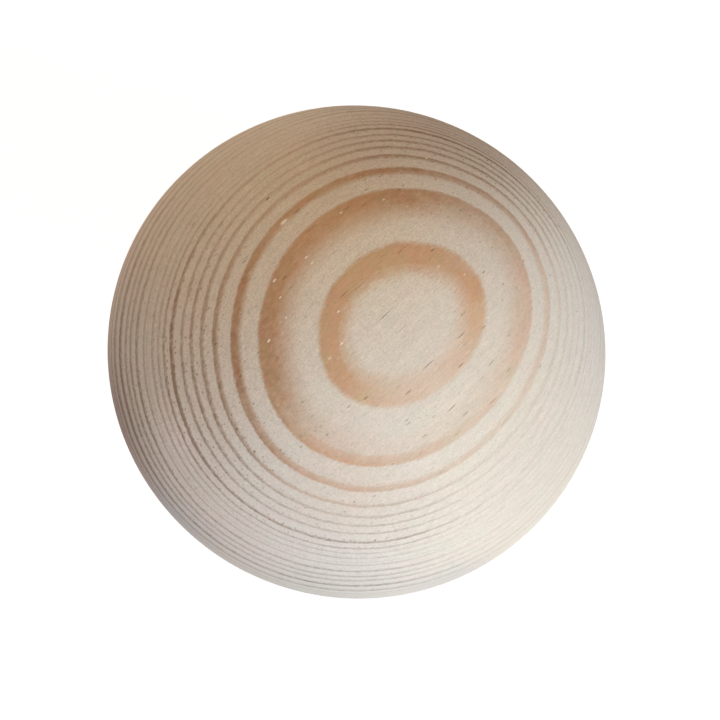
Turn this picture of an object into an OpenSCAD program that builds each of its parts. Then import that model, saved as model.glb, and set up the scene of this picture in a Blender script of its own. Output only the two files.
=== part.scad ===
// Wooden ball: one solid sphere, turned and sanded from a single piece of softwood.
// Units are millimetres. +Z is up and the origin is the centre of the ball.

/* [Ball] */
// Diameter of the ball
ball_d = 60; // [10:1:150]

/* [Finish] */
// Colour of the bare wood, as red, green and blue shares
wood_colour = [0.84, 0.76, 0.66]; // [0:0.01:1]
// Facets round the ball on screen
screen_facets = 128; // [24:8:256]

/* [Hidden] */

// The whole object: a plain sphere with no bore, flat or stem.
module ball() {
    color(wood_colour)
        sphere(d = ball_d, $fn = screen_facets);
}

ball();
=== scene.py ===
"""The looks of the bare pine ball: its mesh, its wood, the floor, the light and the camera.

Lengths are metres, apart from the wood's own, which are millimetres as a woodworker measures them.
The wood is a solid pattern: rings round a pith line outside the ball, cut by the ball's surface.
Places on the face are shares of the ball's radius from its centre: right and up as the camera sees
them, or across and along as the fibres run. So is the reach of anything placed there.
"""

import math
import random

import bpy
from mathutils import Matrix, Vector


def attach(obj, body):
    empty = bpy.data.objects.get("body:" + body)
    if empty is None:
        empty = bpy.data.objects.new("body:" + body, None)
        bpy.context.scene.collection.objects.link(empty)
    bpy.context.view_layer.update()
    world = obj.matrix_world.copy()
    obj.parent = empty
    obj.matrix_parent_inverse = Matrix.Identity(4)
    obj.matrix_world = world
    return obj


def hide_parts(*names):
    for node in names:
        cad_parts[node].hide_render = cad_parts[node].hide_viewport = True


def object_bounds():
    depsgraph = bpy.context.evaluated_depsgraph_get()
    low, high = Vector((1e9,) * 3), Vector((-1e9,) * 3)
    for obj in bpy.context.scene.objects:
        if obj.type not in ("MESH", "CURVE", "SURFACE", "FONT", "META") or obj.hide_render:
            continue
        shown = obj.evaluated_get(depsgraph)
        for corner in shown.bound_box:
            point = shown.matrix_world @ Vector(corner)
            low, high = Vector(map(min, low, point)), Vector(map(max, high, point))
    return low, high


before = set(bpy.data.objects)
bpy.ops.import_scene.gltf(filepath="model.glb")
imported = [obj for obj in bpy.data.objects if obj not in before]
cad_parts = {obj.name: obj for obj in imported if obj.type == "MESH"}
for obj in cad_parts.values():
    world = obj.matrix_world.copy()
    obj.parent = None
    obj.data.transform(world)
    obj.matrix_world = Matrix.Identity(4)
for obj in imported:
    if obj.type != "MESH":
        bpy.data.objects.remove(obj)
cad_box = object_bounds()

MM = 0.001

# ---------------------------------------------------------------- sizes from the frame

BOX_LOW, BOX_HIGH = cad_box
CENTRE = (BOX_LOW + BOX_HIGH) / 2
RADIUS = (BOX_HIGH.x - BOX_LOW.x) / 2
RADIUS_MM = RADIUS / MM

# ---------------------------------------------------------------- the camera's place

VIEW_ELEVATION = math.radians(65)
VIEW_DISTANCE = 6 * RADIUS
# The lens and the sensor's width, in mm.
LENS = 73.85
SENSOR = 36.0
# The camera aims this far to the right of the ball's centre and below it.
AIM_RIGHT = 0.41 * MM
AIM_DOWN = 0.95 * MM

VIEW_RIGHT = Vector((1, 0, 0))
VIEW_UP = Vector((0, math.sin(VIEW_ELEVATION), math.cos(VIEW_ELEVATION)))
VIEW_BACK = Vector((0, -math.cos(VIEW_ELEVATION), math.sin(VIEW_ELEVATION)))


def facing(right, up, back):
    """A direction given as it is seen from the camera's side of the ball."""
    return VIEW_RIGHT * right + VIEW_UP * up + VIEW_BACK * back


# ---------------------------------------------------------------- the shape of the ball

# The turned ball is a little out of round: its other two axes, as shares of the longest.
LONG_AXIS = facing(0.926, -0.377, 0.0).normalized()
SHORT_AXIS = LONG_AXIS.cross(VIEW_BACK)
SHORT_SHARE = 0.9865
DEPTH_SHARE = 0.993
# How far the hard latewood stands proud of the soft wood.
RELIEF = 0.02 * MM


def on_ball(direction):
    """The point of the surface that a direction of length 1 leads to, before the relief."""
    long = LONG_AXIS * direction.dot(LONG_AXIS)
    short = SHORT_AXIS * direction.dot(SHORT_AXIS) * SHORT_SHARE
    deep = VIEW_BACK * direction.dot(VIEW_BACK) * DEPTH_SHARE
    return CENTRE + (long + short + deep) * (RADIUS - RELIEF)


def on_face(right, up):
    """The point of the surface that the camera sees this far right and up."""
    return on_ball(facing(right, up, math.sqrt(1.0 - right * right - up * up)))


# ---------------------------------------------------------------- how the ball was cut from the log

# The fibres run up to the right over the face that the camera sees, and dip into the ball there.
FIBRE_ANGLE = math.radians(43)
FIBRE_DIP = math.radians(-10.94)
ALONG = facing(
    math.cos(FIBRE_ANGLE) * math.cos(FIBRE_DIP),
    math.sin(FIBRE_ANGLE) * math.cos(FIBRE_DIP),
    math.sin(FIBRE_DIP),
)
ACROSS = ALONG.cross(VIEW_BACK).normalized()
OUTWARD = ACROSS.cross(ALONG)

# The pith runs along the fibres, outside the ball on the camera's side: its place in mm.
PITH_ACROSS = -10.5
PITH_OUTWARD = 55.3
# The log was not round: how far its rings swell in mm, straight on and to the side of the pith.
SWELL_STRAIGHT = 9.73
SWELL_SIDE = -1.2
# Slow bends of the trunk: swing in mm, turn in radians over one radius across, along and outward,
# and the angle that the turn starts from.
BENDS = [
    (0.56, (0.0, -1.75, 0.0), 2.50),
    (0.74, (-2.7, 1.05, -3.65), 1.29),
    (0.91, (-1.95, -2.45, -2.3), 0.86),
    (0.11, (-2.8, -6.8, 1.05), 0.43),
    (0.05, (9.5, 4.6, -4.95), 5.30),
]
# Where the rings bulge outward: across and along, reach, and how far in mm.
BULGES = [(-0.15, -0.08, 0.32, 0.15), (-0.25, 0.10, 0.32, 0.05), (-0.06, 0.52, 0.28, 0.10)]
# Smaller unevenness of the rings, in mm: the size and swing of a slow wander and of a fine jag.
WANDER_SIZE = 3.0
WANDER = 0.25
JAG_SIZE = 0.3
JAG = 0.2

# ---------------------------------------------------------------- the rings

# The first ring starts this many mm from the pith.
FIRST_RING_FROM = 31.0
# Rings, from the pith to the bark: width, width of the dark band that ends it, width that shades
# into that band, how orange the band is and how dark. Widths are in mm.
FACE_RINGS = [
    (3.58, 1.28, 1.45, 1.20, 0.05),
    (3.52, 1.25, 3.10, 1.00, 0.42),
    (2.15, 0.94, 1.15, 0.86, 0.60),
    (1.61, 0.56, 0.80, 0.44, 0.70),
    (1.27, 0.56, 0.60, 0.28, 0.69),
    (1.11, 0.52, 0.50, 0.18, 0.74),
    (1.09, 0.48, 0.45, 0.16, 0.63),
    (1.41, 0.62, 0.65, 0.26, 1.02),
    (0.98, 0.48, 0.45, 0.12, 0.74),
    (0.85, 0.50, 0.47, 0.08, 0.41),
    (0.96, 0.52, 0.50, 0.08, 0.47),
    (0.87, 0.40, 0.40, 0.02, 0.20),
    (0.60, 0.52, 0.50, 0.06, 0.46),
    (1.55, 0.74, 0.78, 0.10, 0.73),
    (1.35, 0.74, 0.78, 0.10, 0.65),
    (1.25, 0.82, 0.88, 0.08, 0.60),
    (1.80, 1.04, 1.25, 0.10, 1.02),
    (2.15, 1.30, 1.50, 0.10, 0.69),
]
# The rings past those, round the back: how many, their lowest and highest numbers, and the shares
# of its width that a ring's band and shading take.
HIDDEN_RINGS = 30
HIDDEN_WIDTHS = (1.0, 2.2)
HIDDEN_ORANGE = (0.1, 0.5)
HIDDEN_DARK = (0.3, 0.8)
HIDDEN_BAND = 0.35
HIDDEN_SHADE = 0.7
RING_SEED = 7

# A band's outer edge is soft over this share of its width, and over this many mm at least.
EDGE_SHARE = 0.3
EDGE_WIDTH = 0.2
# The inner side of a band is torn along the fibres: the size and depth of the tears, in mm.
TEAR_SIZE = 0.22
TEAR = 0.35
# The shading is at its deepest this share of the way into the band.
SHADE_FULL = 0.6
# How deep the colour is at a band's inner side, as a share of the depth at its outer side.
INNER_DEPTH = 0.56
# How much deeper it is where the shading is wide, toward the upper end of the grain: from the first
# of these widths in mm to the second, and from the middle of the face to this far along.
WIDE_SHADE_DEPTH = 0.32
WIDE_SHADES = (1.5, 3.0)
WIDE_SHADE_ALONG = 0.4
# Small dark ticks crowd along a band's inner side: from this far inside the band to this far past
# it, in mm. They thin out from this far past it.
TICKS_IN_BAND = 0.3
TICKS_PAST_BAND = 0.75
TICKS_THIN_FROM = 0.1
# They are this many times as strong as the ring's own dark and a little more.
TICKS_STRENGTH = 1.4
TICKS_AT_LEAST = 0.1
# The orange is patchy and the lines break up: the size of the lumps in mm, and the swing.
PATCHY_SIZE = 1.2
PATCHY = 0.14
BROKEN_SIZE = 0.45
BROKEN = 0.4

# What changes over the face: the way it changes, as shares of across and along, the places on that
# way where the change starts and ends, and the values there.
BAND_OVER_FACE = ((0.73, -0.68), (0.25, 0.6), (1.0, 0.74))
ORANGE_OVER_FACE = ((1.0, 0.1), (-0.15, 0.8), (1.05, 0.27))
BROWN_OVER_FACE = ((1.0, -0.15), (-0.5, 0.3), (1.0, 0.0))
SHADING_OVER_FACE = ((1.0, -0.8), (0.2, 0.65), (1.0, 0.2))
SHADING_ALONG_GRAIN = ((0.0, 1.0), (0.3, 0.65), (1.0, 0.45))

# How dark the lines are round the face: a mean, then waves as count per turn, swing, and start in
# degrees from the across axis toward the along axis. The waves fade in between two radii.
DARK_MEAN = 0.61
DARK_TURNS = [(1, 0.17, 213), (2, 0.29, 188), (3, 0.13, -23)]
DARK_TURNS_FROM = (0.1, 0.4)
# Where the lines are fainter or darker: across and along, reach, and the share of the dark there.
DARK_PATCHES = [
    (0.36, 0.58, 0.28, 0.4),
    (0.27, -0.45, 0.35, 0.4),
    (0.72, -0.05, 0.50, 0.6),
    (0.56, -0.56, 0.40, 1.5),
    (-0.55, 0.51, 0.35, 1.2),
    (-0.75, 0.15, 0.40, 0.65),
    (-0.28, 0.86, 0.40, 1.35),
    (-0.27, -0.88, 0.35, 1.3),
]
# Where the sanding has thinned all the latewood, and where the bands are wider or narrower.
RUBBED_PATCHES = [
    (0.13, -0.04, 0.32, 0.50),
    (-0.03, 0.45, 0.28, 0.72),
    (0.57, 0.15, 0.45, 0.85),
    (0.25, 0.44, 0.22, 0.88),
    (-0.28, 0.58, 0.17, 0.86),
]
BAND_PATCHES = [(-0.22, 0.13, 0.26, 1.12), (0.04, 0.43, 0.30, 0.79)]
# A patch or a bulge is at its full strength over this share of its reach.
PATCH_CORE = 0.3


def all_rings():
    """The rings that the camera sees, then others like them as far as the back of the ball."""
    rings = list(FACE_RINGS)
    dice = random.Random(RING_SEED)
    for _ in range(HIDDEN_RINGS):
        width = dice.uniform(*HIDDEN_WIDTHS)
        orange = dice.uniform(*HIDDEN_ORANGE)
        dark = dice.uniform(*HIDDEN_DARK)
        rings.append((width, HIDDEN_BAND * width, HIDDEN_SHADE * width, orange, dark))
    return rings


RINGS = all_rings()
RING_EDGES = [FIRST_RING_FROM]
for ring in RINGS:
    RING_EDGES.append(RING_EDGES[-1] + ring[0])

# ---------------------------------------------------------------- colours


def linear(red, green, blue):
    """An sRGB colour, out of 255, as the linear colour that a socket takes."""
    shares = [value / 255 for value in (red, green, blue)]
    return tuple(s / 12.92 if s < 0.04045 else ((s + 0.055) / 1.055) ** 2.4 for s in shares) + (1.0,)


EARLY = linear(228, 214, 200)
# Where the fibres are cut across, the pale wood is greyer: as shares of its red, green and blue,
# and how far along the grain that starts and is complete.
END_GRAIN = (0.955, 0.985, 1.06, 1.0)
END_GRAIN_ALONG = (0.15, 0.75)
# Blotches, as shares of the pale wood.
PINKER = (1.01, 0.99, 0.995, 1.0)
GREENER = (0.99, 1.007, 0.995, 1.0)
# Latewood's orange as shares of the pale wood, then how it varies, as shares of that.
ORANGE = (0.85, 0.61, 0.447, 1.0)
REDDER = (1.015, 0.97, 0.975, 1.0)
YELLOWER = (0.985, 1.025, 0.985, 1.0)
# Over the middle of the face it washes out to a clearer orange: as shares of that again, and how
# far across that starts and is complete.
WASHED = (1.08, 1.025, 1.01, 1.0)
WASHED_ACROSS = (-0.03, 0.28)
# Latewood's dark, as shares of the wood under it.
GREY_DARK = (0.52, 0.48, 0.45, 1.0)
BROWN_DARK = (0.52, 0.44, 0.37, 1.0)
CANAL = linear(120, 92, 72)
FLECK = linear(255, 245, 228)

# Broad soft patches of painted shade and painted light laid into the wood's colour, darker mostly toward
# the edges of the face, with small shifts of the wood's own tint: right and up, reach, and the shares of
# its red, green and blue that the wood keeps.
PAINTED_SHADE_AND_LIGHT = [
    (-0.94, -0.29, 0.50, (0.60, 0.50, 0.52)),
    (-0.66, -0.30, 0.20, (1.11, 1.09, 1.13)),
    (-0.72, -0.62, 0.34, (0.84, 0.89, 0.96)),
    (0.38, -0.88, 0.30, (0.87, 0.89, 0.94)),
    (-0.05, 0.50, 0.50, (1.01, 0.99, 0.94)),
    (-0.05, -0.48, 0.35, (0.99, 0.94, 0.91)),
    (0.12, -0.30, 0.22, (1.00, 1.02, 1.04)),
    (0.32, 0.88, 0.66, (0.86, 0.83, 0.82)),
    (-0.60, -0.62, 0.55, (1.08, 1.04, 1.06)),
    (-0.90, 0.38, 0.50, (1.10, 1.06, 1.08)),
    (0.76, 0.40, 0.50, (1.09, 1.12, 1.12)),
    (-0.55, 0.00, 0.60, (1.02, 0.97, 0.94)),
    (-0.02, 0.70, 0.38, (0.93, 0.91, 0.92)),
    (0.71, -0.39, 0.50, (0.94, 0.93, 0.94)),
    (-0.15, -0.97, 0.55, (0.93, 0.95, 0.96)),
]

# ---------------------------------------------------------------- marks and finish

# Marks on the face: right and up, and width in mm. Each is this many times as long as it is wide.
MARK_STRETCH = 2.3
PALE_FLECKS = [
    (-0.25, 0.46, 0.42),
    (-0.28, 0.25, 0.26),
    (-0.26, 0.19, 0.18),
    (-0.30, 0.04, 0.26),
    (-0.15, 0.31, 0.18),
    (-0.24, 0.12, 0.16),
    (-0.17, 0.33, 0.20),
    (-0.05, 0.49, 0.18),
    (0.10, 0.54, 0.16),
    (-0.05, 0.03, 0.20),
    (-0.06, 0.14, 0.18),
    (0.26, 0.71, 0.18),
    (-0.75, -0.45, 0.30),
]
DARK_PITS = [
    (-0.31, 0.55, 0.24),
    (-0.36, -0.35, 0.26),
    (-0.42, -0.27, 0.24),
    (-0.50, -0.22, 0.22),
    (-0.51, -0.34, 0.20),
    (0.06, -0.68, 0.20),
    (-0.49, 0.03, 0.20),
]
# Fibres are torn where they lie in the surface: how far along the grain they start to be fewer, and
# where there are none. The shift in mm keeps their pale ends from falling on the canals.
TORN_ALONG = (0.2, 0.8)
TORN_SHIFT = (3.1, 7.7, 5.3)
# The wood is cleaner on the far side: how far across that starts and is complete, and the share of
# the dark specks that is left there.
CLEAN_ACROSS = (0.25, 0.65)
CLEAN_SHARE = 0.45
# How strongly each kind of mark covers the wood.
CANAL_COVER = 0.55
PIT_COVER = 0.75
TORN_COVER = 0.4
FLECK_COVER = 0.85

# Heights in the bump, in mm.
LATEWOOD_BUMP = 0.02
FIBRE_BUMP = 0.015
CANAL_BUMP = -0.02
TORN_UP_BUMP = 0.07
# The bare wood is matt: its roughness at the lows and at the highs of its streaks, and its gloss.
ROUGHNESS = (0.66, 0.78)
GLOSS = 0.1
# How far the brightness of the wood swings: in its streaks, and in a fine speckle, which differs
# between the two sides of the face and is weaker by this share on orange wood.
STREAK_SWING = 0.07
SPECKLE_SMOOTH_SIDE = 0.065
SPECKLE_ROUGH_SIDE = 0.11
SPECKLE_LOST_ON_ORANGE = 0.45

# ---------------------------------------------------------------- node helpers


class Nodes:
    """Builds a node tree, in a material or in geometry nodes, out of plain sums."""

    def __init__(self, tree):
        self.tree = tree

    def add(self, kind, inputs=(), **settings):
        node = self.tree.nodes.new(kind)
        for name, value in settings.items():
            setattr(node, name, value)
        for name, value in dict(inputs).items():
            self.feed(node.inputs[name], value)
        return node

    def feed(self, socket, value):
        if isinstance(value, bpy.types.NodeSocket):
            self.tree.links.new(value, socket)
        else:
            socket.default_value = value

    def math(self, operation, *values, clamp=False):
        node = self.add("ShaderNodeMath", operation=operation, use_clamp=clamp)
        for socket, value in zip(node.inputs, values):
            self.feed(socket, value)
        return node.outputs[0]

    def vector(self, operation, *values):
        node = self.add("ShaderNodeVectorMath", operation=operation)
        for socket, value in zip(node.inputs, values):
            self.feed(socket, value)
        gives_number = operation in ("DOT_PRODUCT", "LENGTH", "DISTANCE")
        return node.outputs["Value" if gives_number else "Vector"]

    def scaled(self, vector, factor):
        node = self.add("ShaderNodeVectorMath", {"Scale": factor}, operation="SCALE")
        self.feed(node.inputs[0], vector)
        return node.outputs[0]

    def joined(self, x, y, z):
        return self.add("ShaderNodeCombineXYZ", {"X": x, "Y": y, "Z": z}).outputs[0]

    def sum(self, *values):
        total = values[0]
        for value in values[1:]:
            total = self.math("ADD", total, value)
        return total

    def times(self, *values):
        total = values[0]
        for value in values[1:]:
            total = self.math("MULTIPLY", total, value)
        return total

    def ramp(self, value, low, high, to_low=0.0, to_high=1.0, smooth=True):
        """value carried from low..high to to_low..to_high, and held at the ends."""
        node = self.add("ShaderNodeMapRange", {"Value": value}, clamp=True)
        node.interpolation_type = "SMOOTHSTEP" if smooth else "LINEAR"
        ends = {"From Min": low, "From Max": high, "To Min": to_low, "To Max": to_high}
        for name, number in ends.items():
            self.feed(node.inputs[name], number)
        return node.outputs[0]

    def noise(self, place, size, detail=2.0, roughness=0.5, stretch=None):
        """Smooth noise from 0 to 1, with lumps about size mm across, drawn out along the fibres."""
        if stretch:
            place = self.vector("MULTIPLY", place, (1.0, 1.0 / stretch, 1.0))
        inputs = {"Vector": place, "Scale": 1.0 / size, "Detail": detail, "Roughness": roughness}
        return self.add("ShaderNodeTexNoise", inputs).outputs[0]

    def uneven(self, noise, swing):
        """Noise as a factor that swings this far below and above 1."""
        return self.ramp(noise, 0.3, 0.7, 1.0 - swing, 1.0 + swing, smooth=False)

    def curve(self, value, points):
        """A curve through points, joined by straight lines."""
        xs = [x for x, _ in points]
        ys = [y for _, y in points]
        x_low, x_high, y_low, y_high = min(xs), max(xs), min(ys), max(ys)
        position = self.ramp(value, x_low, x_high, smooth=False)
        node = self.add("ShaderNodeFloatCurve", {"Value": position, "Factor": 1.0})
        line = node.mapping.curves[0]
        shares = [((x - x_low) / (x_high - x_low), (y - y_low) / (y_high - y_low)) for x, y in points]
        line.points[0].location = shares[0]
        line.points[-1].location = shares[-1]
        for share in shares[1:-1]:
            line.points.new(*share)
        for point in line.points:
            point.handle_type = "VECTOR"
        node.mapping.update()
        return self.math("MULTIPLY_ADD", node.outputs[0], y_high - y_low, y_low)

    def mixed(self, factor, first, second, blend="MIX"):
        node = self.add("ShaderNodeMix", data_type="RGBA", blend_type=blend)
        self.feed(node.inputs[0], factor)
        self.feed(node.inputs[6], first)
        self.feed(node.inputs[7], second)
        return node.outputs[2]


# ---------------------------------------------------------------- the wood as a solid


def log_place(nodes, position):
    """A point's place in the log, in mm: across the fibres, along them and toward the pith."""
    parts = []
    for axis in (ACROSS, ALONG, OUTWARD):
        parts.append(nodes.math("MULTIPLY", nodes.vector("DOT_PRODUCT", position, axis), 1 / MM))
    return nodes.joined(*parts), parts


def face_place(nodes, parts):
    """The same point's place across and along, as shares of the radius."""
    return nodes.math("DIVIDE", parts[0], RADIUS_MM), nodes.math("DIVIDE", parts[1], RADIUS_MM)


def from_patch(nodes, across, along, patch_across, patch_along):
    """How far a point of the face is from a patch's middle."""
    right = nodes.math("SUBTRACT", across, patch_across)
    up = nodes.math("SUBTRACT", along, patch_along)
    return nodes.math("SQRT", nodes.sum(nodes.times(right, right), nodes.times(up, up)))


def patched(nodes, across, along, patches):
    """The share that these patches give a point: 1 away from them, and their own share in them."""
    total = 1.0
    for patch_across, patch_along, reach, share in patches:
        away = from_patch(nodes, across, along, patch_across, patch_along)
        total = nodes.times(nodes.ramp(away, PATCH_CORE * reach, reach, share, 1.0), total)
    return total


def over_face(nodes, across, along, change):
    """The value that something which changes over the face has at a point."""
    (across_share, along_share), (start, end), (before, after) = change
    way = nodes.sum(nodes.times(across, across_share), nodes.times(along, along_share))
    return nodes.ramp(way, start, end, before, after)


def ring_distance(nodes, place, parts):
    """Distance from the pith, in mm, once the log's own swell, bends and bulges are counted."""
    across = nodes.math("SUBTRACT", parts[0], PITH_ACROSS)
    drop = nodes.math("SUBTRACT", PITH_OUTWARD, parts[2])
    across_squared = nodes.times(across, across)
    drop_squared = nodes.times(drop, drop)
    squared = nodes.sum(across_squared, drop_squared)
    straight = nodes.math("DIVIDE", nodes.math("SUBTRACT", drop_squared, across_squared), squared)
    side = nodes.math("DIVIDE", nodes.times(across, drop, 2.0), squared)
    distance = nodes.sum(
        nodes.math("SQRT", squared),
        nodes.times(straight, SWELL_STRAIGHT),
        nodes.times(side, SWELL_SIDE),
    )
    for swing, turns, start in BENDS:
        direction = tuple(turn / RADIUS_MM for turn in turns)
        angle = nodes.sum(nodes.vector("DOT_PRODUCT", place, direction), start)
        distance = nodes.sum(distance, nodes.times(nodes.math("SINE", angle), swing))
    face_across, face_along = face_place(nodes, parts)
    for bulge_across, bulge_along, reach, push in BULGES:
        away = from_patch(nodes, face_across, face_along, bulge_across, bulge_along)
        bulge = nodes.ramp(away, reach, PATCH_CORE * reach, 0.0, push)
        distance = nodes.math("SUBTRACT", distance, bulge)
    wander = nodes.math("SUBTRACT", nodes.noise(place, WANDER_SIZE, detail=2.0, stretch=2.0), 0.5)
    jag = nodes.math("SUBTRACT", nodes.noise(place, JAG_SIZE, detail=1.0, stretch=5.0), 0.5)
    return nodes.sum(distance, nodes.times(wander, WANDER), nodes.times(jag, JAG))


def ring_values(nodes, distance):
    """How deep inside its ring's outer edge a point is, in mm, and that ring's own numbers."""
    count = nodes.curve(distance, [(edge, index) for index, edge in enumerate(RING_EDGES)])
    number = nodes.math("FLOOR", count)
    left_over = nodes.math("SUBTRACT", 1.0, nodes.math("SUBTRACT", count, number))
    middle = nodes.sum(number, 0.5)

    def own(column):
        return nodes.curve(middle, [(index + 0.5, ring[column]) for index, ring in enumerate(RINGS)])

    inside = nodes.times(left_over, own(0))
    return inside, own(1), own(2), own(3), own(4)


def band_depth(nodes, place, across, along, inside, band, shade):
    """How deep in colour the ring's band and its shading are, from 0 to 1."""
    fade = nodes.math("MAXIMUM", nodes.times(band, EDGE_SHARE), EDGE_WIDTH)
    outer_edge = nodes.ramp(inside, 0.0, fade)
    tear = nodes.math("SUBTRACT", nodes.noise(place, TEAR_SIZE, detail=1.0, stretch=4.0), 0.5)
    torn = nodes.math("MULTIPLY_ADD", tear, TEAR, inside)
    fade_end = nodes.sum(band, nodes.times(fade, 0.5))
    inner_edge = nodes.ramp(torn, fade_end, nodes.math("SUBTRACT", fade_end, fade))
    wide = nodes.times(nodes.ramp(shade, *WIDE_SHADES), nodes.ramp(along, 0.0, WIDE_SHADE_ALONG))
    inner_depth = nodes.math("MULTIPLY_ADD", wide, WIDE_SHADE_DEPTH, INNER_DEPTH)
    slope = nodes.ramp(inside, band, EDGE_WIDTH, inner_depth, 1.0, smooth=False)
    core = nodes.times(inner_edge, slope)
    shading = nodes.times(
        nodes.ramp(inside, shade, nodes.times(band, SHADE_FULL)),
        over_face(nodes, across, along, SHADING_OVER_FACE),
        over_face(nodes, across, along, SHADING_ALONG_GRAIN),
    )
    return nodes.times(nodes.math("MAXIMUM", core, shading), outer_edge)


def dark_side(nodes, across, along):
    """How dark the lines are on each side of the face, by the turn round its middle."""
    turn = nodes.math("ARCTAN2", along, across)
    reach = nodes.math("SQRT", nodes.sum(nodes.times(across, across), nodes.times(along, along)))
    total = DARK_MEAN
    for count, swing, start in DARK_TURNS:
        angle = nodes.math("MULTIPLY_ADD", turn, count, -math.radians(start))
        wave = nodes.times(nodes.math("COSINE", angle), nodes.ramp(reach, *DARK_TURNS_FROM), swing)
        total = nodes.sum(total, wave)
    return nodes.times(total, patched(nodes, across, along, DARK_PATCHES))


def latewood(nodes, place, parts, distance):
    """How orange, dark and brown the latewood is here, and how near a band's inner side this is."""
    inside, band, shade, orange, dark = ring_values(nodes, distance)
    across, along = face_place(nodes, parts)
    band = nodes.times(
        over_face(nodes, across, along, BAND_OVER_FACE),
        patched(nodes, across, along, BAND_PATCHES),
        band,
    )
    late = nodes.times(
        band_depth(nodes, place, across, along, inside, band, shade),
        patched(nodes, across, along, RUBBED_PATCHES),
    )
    # The colour is deepest on the left of the face, and washes out on its far side.
    warmth = nodes.times(late, orange, over_face(nodes, across, along, ORANGE_OVER_FACE))
    patchy = nodes.uneven(nodes.noise(place, PATCHY_SIZE, detail=2.0, stretch=2.0), PATCHY)
    orange_amount = nodes.math("MULTIPLY", warmth, patchy, clamp=True)
    # The lines break up into darker and paler lengths.
    broken = nodes.uneven(nodes.noise(place, BROKEN_SIZE, detail=2.0, stretch=2.0), BROKEN)
    side_dark = dark_side(nodes, across, along)
    dark_amount = nodes.math("MULTIPLY", nodes.times(late, dark, broken), side_dark, clamp=True)
    brown_share = over_face(nodes, across, along, BROWN_OVER_FACE)
    past_band = nodes.math("SUBTRACT", inside, band)
    near_band = nodes.times(
        nodes.ramp(past_band, TICKS_PAST_BAND, TICKS_THIN_FROM),
        nodes.ramp(past_band, -TICKS_IN_BAND, 0.0),
        nodes.sum(dark, TICKS_AT_LEAST),
        side_dark,
        TICKS_STRENGTH,
    )
    return orange_amount, dark_amount, brown_share, near_band


# ---------------------------------------------------------------- fibres and marks


def fibres(nodes, place):
    """Fine streaks along the fibres, from 0 to 1."""
    fine = nodes.noise(place, 0.22, detail=1.0, stretch=7.0)
    long = nodes.noise(place, 0.7, detail=2.0, stretch=12.0)
    return nodes.math("MULTIPLY_ADD", fine, 0.6, nodes.times(long, 0.4))


def canals(nodes, place, width, spacing, length, kept):
    """Tubes along the fibres, this wide, far apart and long in mm, with this share of them kept."""
    squeeze = (1 / spacing, width / spacing / length, 1 / spacing)
    cells = nodes.add(
        "ShaderNodeTexVoronoi",
        {"Vector": nodes.vector("MULTIPLY", place, squeeze), "Scale": 1.0, "Randomness": 1.0},
    )
    reach = 0.5 * width / spacing
    near = nodes.ramp(cells.outputs["Distance"], reach, 0.4 * reach)
    chance = nodes.add("ShaderNodeSeparateColor", {"Color": cells.outputs["Color"]}).outputs[0]
    return nodes.times(near, nodes.ramp(chance, 1.0 - kept, 1.0 - 0.4 * kept))


def dark_specks(nodes, place, near_band, lengthwise, clean_side):
    """How strongly a resin canal or a torn fibre darkens a point, and how far a torn one stands up."""
    wide = nodes.times(canals(nodes, place, width=0.27, spacing=1.05, length=1.2, kept=0.65), 0.85)
    torn_up = canals(nodes, place, width=0.20, spacing=0.62, length=2.2, kept=0.75)
    torn_up = nodes.times(torn_up, lengthwise)
    short = nodes.times(canals(nodes, place, width=0.16, spacing=0.36, length=0.5, kept=0.6), 0.4)
    ticks = nodes.times(canals(nodes, place, width=0.26, spacing=0.42, length=0.8, kept=0.9), near_band)
    specks = nodes.times(torn_up, 0.5)
    for layer in (wide, short, ticks):
        specks = nodes.math("MAXIMUM", specks, layer)
    return nodes.times(specks, clean_side), nodes.times(torn_up, clean_side)


def torn_ends(nodes, place, late):
    """Pale ends of fibres that the sanding tore out of the latewood."""
    shifted = nodes.vector("ADD", place, TORN_SHIFT)
    return nodes.times(canals(nodes, shifted, width=0.34, spacing=0.85, length=0.75, kept=0.5), late)


def spots(nodes, place, marks):
    """Small marks on the face, drawn out along the fibres."""
    total = 0.0
    for right, up, width in marks:
        point = on_face(right, up)
        centre = tuple(point.dot(axis) / MM for axis in (ACROSS, ALONG, OUTWARD))
        offset = nodes.vector("SUBTRACT", place, centre)
        offset = nodes.vector("MULTIPLY", offset, (1 / width, 1 / (MARK_STRETCH * width), 1 / width))
        total = nodes.math("MAXIMUM", nodes.ramp(nodes.vector("LENGTH", offset), 0.6, 0.3), total)
    return total


def paint_shade_and_light(nodes, position, colour):
    """The same colour with the broad patches of painted shade and painted light laid over it."""
    for right, up, reach, kept in PAINTED_SHADE_AND_LIGHT:
        away = nodes.vector("DISTANCE", position, tuple(on_face(right, up)))
        near = nodes.ramp(away, reach * RADIUS, 0.0)
        shaded = nodes.vector("MULTIPLY", colour, kept)
        colour = nodes.mixed(near, colour, shaded)
    return colour


# ---------------------------------------------------------------- the pine


def fibres_cut(nodes, along, ends):
    """How far the fibres are cut across: 0 in the middle of the face, 1 at the two ends of the grain."""
    start, end = ends
    return nodes.ramp(nodes.math("ABSOLUTE", along), start * RADIUS_MM, end * RADIUS_MM)


def pale_wood(nodes, place, along):
    """The colour of the wood between the lines."""
    greyer = tuple(e * s for e, s in zip(EARLY, END_GRAIN))
    pale = nodes.mixed(fibres_cut(nodes, along, END_GRAIN_ALONG), EARLY, greyer)
    blotch = nodes.ramp(nodes.noise(place, 2.0, detail=1.0, stretch=1.5), 0.35, 0.65, smooth=False)
    return nodes.mixed(1.0, pale, nodes.mixed(blotch, PINKER, GREENER), blend="MULTIPLY")


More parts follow.
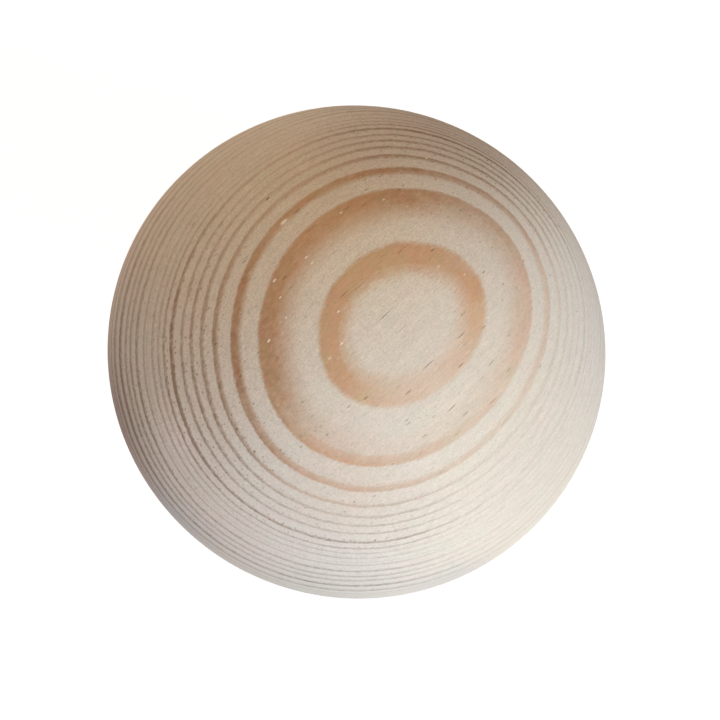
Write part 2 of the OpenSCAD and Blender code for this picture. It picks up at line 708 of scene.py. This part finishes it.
def latewood_tint(nodes, place, across):
    """Latewood's orange, as shares of the pale wood. It washes out over the middle of the face."""
    hue = nodes.ramp(nodes.noise(place, 1.5, detail=1.0, stretch=2.5), 0.35, 0.65, smooth=False)
    warm = nodes.mixed(1.0, nodes.mixed(hue, REDDER, YELLOWER), ORANGE, blend="MULTIPLY")
    start, end = WASHED_ACROSS
    washed = nodes.ramp(across, start * RADIUS_MM, end * RADIUS_MM)
    return nodes.mixed(washed, warm, WASHED, blend="MULTIPLY")


def wood_light(nodes, place, across, orange, streak):
    """How the brightness varies along the streaks, and in the roughness that the cutter left."""
    speckle = nodes.noise(place, 0.16, detail=1.0, roughness=0.6, stretch=1.5)
    speckle = nodes.ramp(speckle, 0.3, 0.7, -1.0, 1.0, smooth=False)
    side = 0.3 * RADIUS_MM
    swing = nodes.ramp(across, side, -side, SPECKLE_SMOOTH_SIDE, SPECKLE_ROUGH_SIDE)
    swing = nodes.times(swing, nodes.math("MULTIPLY_ADD", orange, -SPECKLE_LOST_ON_ORANGE, 1.0))
    rough = nodes.math("MULTIPLY_ADD", speckle, swing, 1.0)
    return nodes.times(nodes.uneven(streak, STREAK_SWING), rough)


def pine():
    """Bare sanded pine, with no finish on it."""
    material = bpy.data.materials.new("bare_pine_wood")
    material.use_nodes = True
    nodes = Nodes(material.node_tree)
    shader = next(n for n in nodes.tree.nodes if n.type == "BSDF_PRINCIPLED")
    position = nodes.add("ShaderNodeTexCoord").outputs["Object"]
    place, parts = log_place(nodes, position)
    across, along, _ = parts
    distance = ring_distance(nodes, place, parts)
    orange, dark, brown_share, near_band = latewood(nodes, place, parts, distance)
    streak = fibres(nodes, place)

    pale = pale_wood(nodes, place, along)
    warm = nodes.mixed(1.0, pale, latewood_tint(nodes, place, across), blend="MULTIPLY")
    colour = nodes.mixed(orange, pale, warm)
    colour = nodes.mixed(dark, colour, nodes.mixed(brown_share, GREY_DARK, BROWN_DARK), blend="MULTIPLY")
    light = wood_light(nodes, place, across, orange, streak)
    colour = nodes.mixed(1.0, colour, nodes.joined(light, light, light), blend="MULTIPLY")
    # Painted shade and painted light go on here, as broad patches over the wood's colour.
    colour = paint_shade_and_light(nodes, position, colour)

    lengthwise = nodes.math("SUBTRACT", 1.0, fibres_cut(nodes, along, TORN_ALONG))
    start, end = CLEAN_ACROSS
    clean_side = nodes.ramp(across, start * RADIUS_MM, end * RADIUS_MM, 1.0, CLEAN_SHARE)
    specks, torn_up = dark_specks(nodes, place, near_band, lengthwise, clean_side)
    pits = spots(nodes, place, DARK_PITS)
    torn = torn_ends(nodes, place, nodes.times(orange, lengthwise))
    flecks = spots(nodes, place, PALE_FLECKS)
    marks = (
        (specks, CANAL_COVER, CANAL),
        (pits, PIT_COVER, CANAL),
        (torn, TORN_COVER, FLECK),
        (flecks, FLECK_COVER, FLECK),
    )
    for mark, cover, mark_colour in marks:
        colour = nodes.mixed(nodes.times(mark, cover), colour, mark_colour)
    nodes.feed(shader.inputs["Base Color"], colour)
    nodes.feed(shader.inputs["Roughness"], nodes.ramp(streak, 0.2, 0.8, *ROUGHNESS))
    shader.inputs["Specular IOR Level"].default_value = GLOSS

    height = nodes.sum(
        nodes.times(nodes.math("MAXIMUM", orange, dark), LATEWOOD_BUMP),
        nodes.times(streak, FIBRE_BUMP),
        nodes.times(specks, CANAL_BUMP),
        nodes.times(torn_up, TORN_UP_BUMP),
    )
    bump = nodes.add("ShaderNodeBump", {"Height": height, "Distance": MM, "Strength": 1.0})
    nodes.feed(shader.inputs["Normal"], bump.outputs[0])
    return material


# ---------------------------------------------------------------- the ball's mesh

# Cells along each edge of the cube that is rounded into the ball.
CELLS = 128
# The share of its place on the map that is left empty at each edge of a side.
MAP_MARGIN = 0.02


def cube_sides():
    """The six sides of a cube: outward, then right and up as they are seen from outside."""
    x, y, z = Vector((1, 0, 0)), Vector((0, 1, 0)), Vector((0, 0, 1))
    return [(x, y, z), (-x, -y, z), (y, -x, z), (-y, x, z), (z, x, y), (-z, x, -y)]


def ball_mesh():
    """A sphere made of six curved grids, with each grid laid flat beside the others as its map."""
    points, faces, map_places = [], [], []
    found = {}
    for number, (out, right, up) in enumerate(cube_sides()):
        column, row = number % 3, number // 3
        grid = []
        for j in range(CELLS + 1):
            line = []
            for i in range(CELLS + 1):
                across = math.tan((i / CELLS - 0.5) * math.pi / 2)
                upward = math.tan((j / CELLS - 0.5) * math.pi / 2)
                point = (out + right * across + up * upward).normalized()
                # Adding 0.0 turns -0.0 into 0.0, so that neighbouring sides share their points.
                key = tuple(round(c, 6) + 0.0 for c in point)
                if key not in found:
                    found[key] = len(points)
                    points.append(point)
                line.append(found[key])
            grid.append(line)
        for j in range(CELLS):
            for i in range(CELLS):
                faces.append((grid[j][i], grid[j][i + 1], grid[j + 1][i + 1], grid[j + 1][i]))
                for a, b in ((i, j), (i + 1, j), (i + 1, j + 1), (i, j + 1)):
                    u = (column + MAP_MARGIN + (1 - 2 * MAP_MARGIN) * a / CELLS) / 3
                    v = (row + MAP_MARGIN + (1 - 2 * MAP_MARGIN) * b / CELLS) / 2
                    map_places.append((u, v))
    mesh = bpy.data.meshes.new("turned_ball")
    mesh.from_pydata([on_ball(point) for point in points], [], faces)
    layer = mesh.uv_layers.new(name="OFBake")
    for corner, map_place in enumerate(map_places):
        layer.data[corner].uv = map_place
    mesh.polygons.foreach_set("use_smooth", [True] * len(mesh.polygons))
    mesh.update()
    return mesh


def raise_latewood(ball):
    """Sanding leaves the hard latewood a little proud: moves the surface by as much, for good."""
    group = bpy.data.node_groups.new("latewood_relief", "GeometryNodeTree")
    group.interface.new_socket("Geometry", in_out="INPUT", socket_type="NodeSocketGeometry")
    group.interface.new_socket("Geometry", in_out="OUTPUT", socket_type="NodeSocketGeometry")
    nodes = Nodes(group)
    start = nodes.add("NodeGroupInput")
    end = nodes.add("NodeGroupOutput")
    position = nodes.add("GeometryNodeInputPosition").outputs[0]
    place, parts = log_place(nodes, position)
    orange, dark, _, _ = latewood(nodes, place, parts, ring_distance(nodes, place, parts))
    normal = nodes.add("GeometryNodeInputNormal").outputs[0]
    offset = nodes.scaled(normal, nodes.times(nodes.math("MAXIMUM", orange, dark), RELIEF))
    moved = nodes.add("GeometryNodeSetPosition", {"Geometry": start.outputs[0], "Offset": offset})
    nodes.tree.links.new(moved.outputs[0], end.inputs[0])
    modifier = ball.modifiers.new("latewood_relief", "NODES")
    modifier.node_group = group
    bpy.context.view_layer.objects.active = ball
    ball.select_set(True)
    bpy.ops.object.modifier_apply(modifier=modifier.name)


def make_ball():
    """The whole object: one piece, which stands for the CAD ball."""
    ball = bpy.data.objects.new("turned_ball", ball_mesh())
    bpy.context.scene.collection.objects.link(ball)
    raise_latewood(ball)
    ball.data.materials.append(pine())
    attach(ball, "root")
    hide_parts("ball")


# ---------------------------------------------------------------- the floor and the room

FLOOR_SIZE = 0.75
# The camera sees the floor as this much plain white, and on top of that as a floor this pale in the
# light of the lamps.
FLOOR_WHITE = 0.92
FLOOR_SEEN = 0.22
# How pale the floor is for the light that it throws back on the ball.
FLOOR_DIFFUSE = 0.8
# The light from the room itself, between the lamps.
ROOM_COLOUR = (1.0, 0.95, 0.9, 1.0)
ROOM_LEVEL = 0.01
WHITE = (1.0, 1.0, 1.0, 1.0)


def seen_rays(nodes):
    """1 where the camera sees a surface, straight or in another one, and 0 where light only bounces."""
    path = nodes.add("ShaderNodeLightPath")
    seen = nodes.math("MAXIMUM", path.outputs["Is Camera Ray"], path.outputs["Is Glossy Ray"])
    return nodes.math("MAXIMUM", seen, path.outputs["Is Transmission Ray"])


def make_floor():
    """A plain white floor under the ball. The camera sees it white, with a soft shadow left on it."""
    bpy.ops.mesh.primitive_plane_add(size=FLOOR_SIZE, location=(CENTRE.x, CENTRE.y, BOX_LOW.z))
    floor = bpy.context.object
    floor.name = "floor"
    material = bpy.data.materials.new("white_floor")
    material.use_nodes = True
    nodes = Nodes(material.node_tree)
    nodes.tree.nodes.clear()
    seen = seen_rays(nodes)
    pale = nodes.ramp(seen, 0.0, 1.0, FLOOR_DIFFUSE, FLOOR_SEEN, smooth=False)
    plain = nodes.add("ShaderNodeBsdfDiffuse", {"Color": nodes.joined(pale, pale, pale)})
    white = nodes.add("ShaderNodeEmission", {"Color": WHITE, "Strength": nodes.times(seen, FLOOR_WHITE)})
    both = nodes.add("ShaderNodeAddShader", {0: plain.outputs[0], 1: white.outputs[0]})
    end = nodes.add("ShaderNodeOutputMaterial")
    nodes.tree.links.new(both.outputs[0], end.inputs["Surface"])
    floor.data.materials.append(material)


def make_room():
    """A dim room round the ball, which the camera sees as white."""
    world = bpy.data.worlds.new("room")
    world.use_nodes = True
    nodes = Nodes(world.node_tree)
    nodes.tree.nodes.clear()
    room = nodes.add("ShaderNodeBackground", {"Color": ROOM_COLOUR, "Strength": ROOM_LEVEL})
    white = nodes.add("ShaderNodeBackground", {"Color": WHITE, "Strength": 1.0})
    both = {0: seen_rays(nodes), 1: room.outputs[0], 2: white.outputs[0]}
    mix = nodes.add("ShaderNodeMixShader", both)
    end = nodes.add("ShaderNodeOutputWorld")
    nodes.tree.links.new(mix.outputs[0], end.inputs["Surface"])
    bpy.context.scene.world = world


# ---------------------------------------------------------------- the lamps and the camera

LAMP_DISTANCE = 0.6
LAMP_WIDTH = 0.4
# Lamps: name, heading from the camera's side round to its right and height above the floor in
# degrees, power in watts, colour.
LAMPS = [
    ("window", 45, 12, 2.92, (0.84, 0.94, 1.0)),
    ("front", -3, 12, 1.24, (0.84, 0.94, 1.0)),
    ("ceiling", 0, 88, 0.88, (1.0, 0.80, 0.58)),
    ("back", 180, 38, 0.90, (1.0, 0.80, 0.58)),
    ("wall", 262, 36, 0.55, (1.0, 0.82, 0.62)),
]


def make_lamps():
    """Soft round lamps about the ball, each turned to face it."""
    for name, heading_degrees, height_degrees, power, colour in LAMPS:
        lamp = bpy.data.lights.new(name, "AREA")
        lamp.shape = "DISK"
        lamp.size = LAMP_WIDTH
        lamp.energy = power
        lamp.color = colour
        heading = math.radians(heading_degrees)
        height = math.radians(height_degrees)
        level = math.cos(height)
        toward = Vector((math.sin(heading) * level, -math.cos(heading) * level, math.sin(height)))
        holder = bpy.data.objects.new(name, lamp)
        holder.location = CENTRE + toward * LAMP_DISTANCE
        holder.rotation_euler = toward.to_track_quat("Z", "Y").to_euler()
        bpy.context.scene.collection.objects.link(holder)


def make_camera():
    """The camera that the ball's face is turned to."""
    data = bpy.data.cameras.new("camera")
    data.lens = LENS
    data.sensor_width = SENSOR
    data.clip_start = RADIUS * 0.1
    data.clip_end = 20.0
    camera = bpy.data.objects.new("camera", data)
    camera.location = CENTRE + VIEW_BACK * VIEW_DISTANCE
    aim = CENTRE + VIEW_RIGHT * AIM_RIGHT - VIEW_UP * AIM_DOWN
    camera.rotation_euler = (camera.location - aim).to_track_quat("Z", "Y").to_euler()
    bpy.context.scene.collection.objects.link(camera)
    bpy.context.scene.camera = camera


make_camera()
make_ball()
make_floor()
make_lamps()
make_room()
bpy.context.scene.view_settings.view_transform = "Standard"
